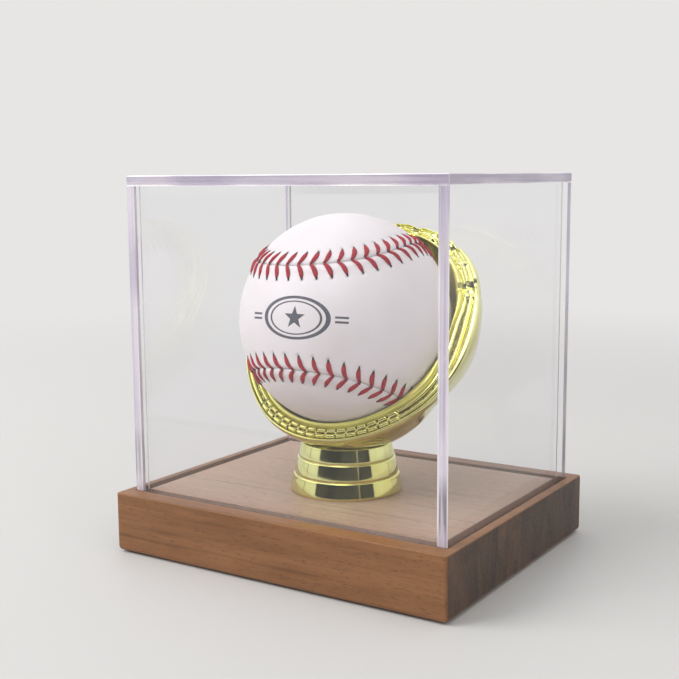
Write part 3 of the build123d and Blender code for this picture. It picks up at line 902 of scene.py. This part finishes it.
def laceRise(degree, v, spacing):  # height of the relief; v runs from -1 to 1 across it
    shape, radius = laceShape, gloveShape["laceRadius"]
    first, last = shape["padded"]
    if first <= degree <= last:  # two rows of pads with crossed ties between them
        step = (last - first) / shape["pads"]
        along = ((degree - first) / step) % 1
        away = radians(min(along, 1 - along) * step) * radius
        height = shape["padHeight"] * cordRise(v, shape["padHalf"]) * ease(away, *shape["padEnd"])
        side = away if along < 0.5 else -away
        acrossReach, alongReach = shape["crossReach"]
        if abs(v) < acrossReach and away < alongReach:
            for slope in (shape["crossSlope"], -shape["crossSlope"]):
                gap = abs(v * spacing - slope * side) / (1 + slope * slope) ** 0.5
                cross = max(0, 1 - (gap / shape["crossWidth"]) ** 2) ** 0.5
                height = max(height, shape["crossHeight"] * cross)
    elif shape["pipingEnd"] <= degree <= 180 - shape["pipingEnd"]:  # one tie along the finger tips
        (sway, turns), (rope, strands, skew) = shape["wander"], shape["rope"]
        wander = sway * sin(radians(degree * turns))
        height = shape["tieHeight"] * max(0, 1 - ((v - wander) / shape["tieHalf"]) ** 2) ** 0.5
        if height > 0.2:
            height = max(0, height + rope * sin(radians(degree * strands) + v * skew))
    else:
        height = shape["pipingHeight"] * cordRise(v, shape["pipingHalf"])
    for spot, size in shape["knots"]:
        away = ((radians(degree - spot) * radius) ** 2 + (v * spacing) ** 2) ** 0.5
        if away < size * 1.6:
            amount, alongScale, acrossScale = shape["lump"]
            lump = amount * noise3.noise(Vector((degree * alongScale, v * acrossScale, spot)))
            height = max(height, (shape["knotHeight"] + lump) * exp(-((away / size) ** 4)))
    return height


def gloveLacing():
    shape = laceShape
    across = [-1 + 2 * k / shape["columns"] for k in range(shape["columns"] + 1)]
    profile = [(v, 0.0) for v in across] + [(1.0, -shape["depth"]), (-1.0, -shape["depth"])]
    bm = spunProfile([(shape["spinRadius"] + v, z) for v, z in profile], shape["steps"], True)
    slitShade = bm.verts.layers.float.new("slitShade")
    tiedStart, tiedEnd = shape["tied"]
    for v in bm.verts:
        degree = degrees(atan2(v.co.y, v.co.x)) % 360
        share = v.co.xy.length - shape["spinRadius"]
        first, second = fromTable(rimTable, degree)[1:3]
        place = through(share, ((-1, first - 1.0), (-0.5, first), (0.5, second), (1, second + 1.0)))
        rise = 0 if v.co.z < -shape["depth"] / 2 else laceRise(degree, share, second - first)
        tied = ease(degree, *tiedStart) * (1 - ease(degree, *tiedEnd))
        # painted shade in the slits: the lower the relief, the darker, and less so where the laces are tied
        v[slitShade] = (1 - shape["tiedShare"] * tied) * (1 - ease(rise, *shape["slit"]))
        z = shape["base"] + v.co.z + rise + rimSettle(degree, place * sin(radians(degree)))
        v.co = clearOfBall(gloveSpot(degree, place - gloveShape["notchIn"] * rimNotch(degree), z))
    newPiece("gloveLacing", bm, "stand", [finish["gold_plating"]])


glovePocket()
gloveFingers()
gloveLacing()
print("glove made")


# Riser: three flared tiers with rounded shoulders, dished at the top under the glove

riserShape = {  # tiers are (foot, head) radii, all in millimetres
    "tiers": ((19.95, 18.85), (18.38, 17.40), (16.95, 16.05)), "height": 5.95, "round": 0.55, "crown": 0.10,
    "lift": 0.12, "topRise": 1.9, "wall": 1.8, "seat": 15.3, "dish": 12.3, "dishEdge": (1.2, 0.25),
    "bore": 11.0, "boreFoot": 1.0, "footEdge": 0.25, "sections": 6, "steps": 128,
}


def makeRiser():
    shape = riserShape
    sections, lift, seat, bore = shape["sections"], shape["lift"], shape["seat"], shape["bore"]
    line = []
    for k, (foot, head) in enumerate(shape["tiers"]):
        start = shape["height"] * k
        isTop = k == len(shape["tiers"]) - 1
        height = seat - start + shape["topRise"] if isTop else shape["height"]
        for step in range(sections + 1):  # the crowned side
            share = step / sections
            radius = foot + (head - foot) * share + shape["crown"] * sin(pi * share)
            line.append((radius, start + lift + (height - shape["round"] - lift) * share))
        for step in range(1, sections + 1):  # the rounded shoulder
            a = pi / 2 * step / sections
            radius = head - shape["round"] * (1 - cos(a))
            line.append((radius, start + height - shape["round"] * (1 - sin(a))))
    widen, rise = shape["dishEdge"]
    widest = line[0][0]
    line += [(shape["dish"] + widen, seat + rise), (shape["dish"], seat), (bore, seat)]
    line += [(bore, shape["boreFoot"]), (widest - shape["wall"], 0.0), (widest - shape["footEdge"], 0.0)]
    bm = spunProfile(line, shape["steps"], True)
    bmesh.ops.scale(bm, vec=(mm, mm, mm), verts=bm.verts)
    bmesh.ops.translate(bm, vec=(0, ballCentre.y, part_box("pedestal")[0].z), verts=bm.verts)
    newPiece("stepRiser", bm, "stand", [finish["gold_plating"]], ("pedestal",))


makeRiser()
print("riser made")


# Stage: a pale floor that fades into a backdrop of its own colour

stageLook = {  # lit, faded and radius are metres from the middle
    "tone": (0.80, 0.79, 0.775), "glow": 1.0, "own": (0.56, 0.553, 0.543), "gloss": 0.55, "shine": 0.25,
    "lit": 0.25, "faded": 0.80, "radius": 8.0,
}


def makeStage():
    look = stageLook
    bm = bmesh.new()
    bmesh.ops.create_circle(bm, cap_ends=True, segments=96, radius=look["radius"])
    mesh = bpy.data.meshes.new("floor")
    bm.to_mesh(mesh)
    bm.free()
    floor = linked("floor", mesh)
    own = {"Base Color": (*look["own"], 1), "Roughness": look["gloss"], "Specular IOR Level": look["shine"]}
    mat, tree, skin = startMaterial("paleFloor", own)
    place = addNode(tree, "TexCoord").outputs["Object"]
    far = addNode(tree, "VectorMath", {"operation": "LENGTH"}, {0: place}).outputs["Value"]
    fade = mapped(tree, far, look["lit"], look["faded"], kind="SMOOTHSTEP")
    path = addNode(tree, "LightPath").outputs
    seen = maths(tree, "MAXIMUM", path["Is Glossy Ray"], path["Is Transmission Ray"])
    seen = maths(tree, "MAXIMUM", path["Is Camera Ray"], seen)
    glow = addNode(tree, "Emission", {"Color": (*look["tone"], 1), "Strength": look["glow"]})
    both = mixShader(tree, times(tree, fade, seen), skin, glow)
    tree.links.new(both.outputs[0], tree.nodes["Material Output"].inputs["Surface"])
    mesh.materials.append(mat)


makeStage()


# World: pale all round; mirrors see a dark part in front and bright parts at the left and above

worldLook = {  # angles are degrees from the view; a patch is (side, tilt, strength, inner, outer)
    "ambient": 0.62, "ambientTone": (1, 0.99, 0.98), "mirrorPale": 0.95, "mirrorHigh": 1.30,
    "highBand": (0.45, 0.70), "mirrorDark": 0.010, "darkMiddle": -5.5, "darkHalf": 62.5, "darkTop": 31.0,
    "darkEdge": (0.03, 0.02), "patches": ((-88.0, 50.0, 0.9, 20.0, 48.0), (-20.0, 60.0, 5.0, 10.0, 20.0)),
}


def makeWorld():
    look = worldLook
    world = bpy.data.worlds.new("studio")
    bpy.context.scene.world = world
    world.use_nodes = True
    tree = world.node_tree
    tree.nodes.clear()
    out = tree.nodes.new("ShaderNodeOutputWorld")
    path = addNode(tree, "LightPath").outputs
    ambient = addNode(tree, "Background", {"Color": (*look["ambientTone"], 1), "Strength": look["ambient"]})
    shown = addNode(tree, "Background", {"Color": (*stageLook["tone"], 1), "Strength": stageLook["glow"]})
    way = addNode(tree, "TexCoord").outputs["Generated"]
    angle = -radians(cameraPlace["yaw"] + look["darkMiddle"])
    turned = addNode(tree, "VectorRotate", {"rotation_type": "Z_AXIS", "Angle": angle}, {"Vector": way})
    x, y, z = splitVector(tree, turned.outputs[0])
    sideways = maths(tree, "ARCTAN2", maths(tree, "ABSOLUTE", x), times(tree, y, -1.0))
    half, top = radians(look["darkHalf"]), sin(radians(look["darkTop"]))
    sideEdge, topEdge = look["darkEdge"]
    inFront = mapped(tree, sideways, half - sideEdge, half + sideEdge, 1.0, 0.0)
    low = mapped(tree, z, top - topEdge, top + topEdge, 1.0, 0.0)
    dark = times(tree, inFront, low)
    bright = mapped(tree, z, *look["highBand"], look["mirrorPale"], look["mirrorHigh"], "SMOOTHSTEP")
    for side, tilt, strength, inner, outer in look["patches"]:
        side, tilt = radians(cameraPlace["yaw"] + side), radians(tilt)
        aim = (sin(side) * cos(tilt), -cos(side) * cos(tilt), sin(tilt))
        ends = cos(radians(outer)), cos(radians(inner))
        patch = mapped(tree, dot(tree, way, aim), *ends, 0.0, strength, "SMOOTHSTEP")
        bright = maths(tree, "ADD", bright, patch)
    lit = times(tree, bright, maths(tree, "SUBTRACT", 1.0, dark))
    level = maths(tree, "ADD", lit, times(tree, dark, look["mirrorDark"]))
    mirror = addNode(tree, "Background", {"Color": (1, 1, 1, 1)}, {"Strength": level})
    unseen = mixShader(tree, path["Is Glossy Ray"], ambient, mirror)
    seen = maths(tree, "MAXIMUM", path["Is Camera Ray"], path["Is Transmission Ray"])
    tree.links.new(mixShader(tree, seen, unseen, shown).outputs[0], out.inputs["Surface"])


makeWorld()


# Lamps: a soft key from the upper left, a broad top light and a weak fill

lamps = {
    "key": {"spot": (-0.85, -0.75, 0.95), "size": 0.9, "power": 16.8},
    "top": {"spot": (0.05, 0.10, 1.25), "size": 1.2, "power": 3.5},
    "fill": {"spot": (0.95, -0.35, 0.45), "size": 0.7, "power": 2.0},
}
for name, lamp in lamps.items():
    light = bpy.data.lights.new(name, "AREA")
    light.size = lamp["size"]
    light.energy = lamp["power"]
    holder = linked(name, light)
    holder.visible_glossy = False
    spot = Vector(lamp["spot"])
    turn = (spot - ballCentre).to_track_quat("Z", "Y").to_matrix()
    holder.matrix_world = Matrix.Translation(spot) @ turn.to_4x4()


def placeCamera():
    place = cameraPlace
    a, e, roll = radians(place["yaw"]), radians(place["pitch"]), radians(place["roll"])
    back = Vector((sin(a) * cos(e), -cos(a) * cos(e), sin(e)))
    right = Vector((0, 0, 1)).cross(back).normalized()
    up = back.cross(right)
    right, up = right * cos(roll) + up * sin(roll), up * cos(roll) - right * sin(roll)
    camera = bpy.data.cameras.new("camera")
    camera.lens = place["lens"]
    camera.sensor_width = place["sensor"]
    holder = linked("camera", camera)
    turn = Matrix((right, up, back)).transposed()
    holder.matrix_world = Matrix.Translation(place["spot"]) @ turn.to_4x4()
    bpy.context.scene.camera = holder


placeCamera()
bpy.context.scene.view_settings.view_transform = "Standard"
print("stage, lamps and camera set")
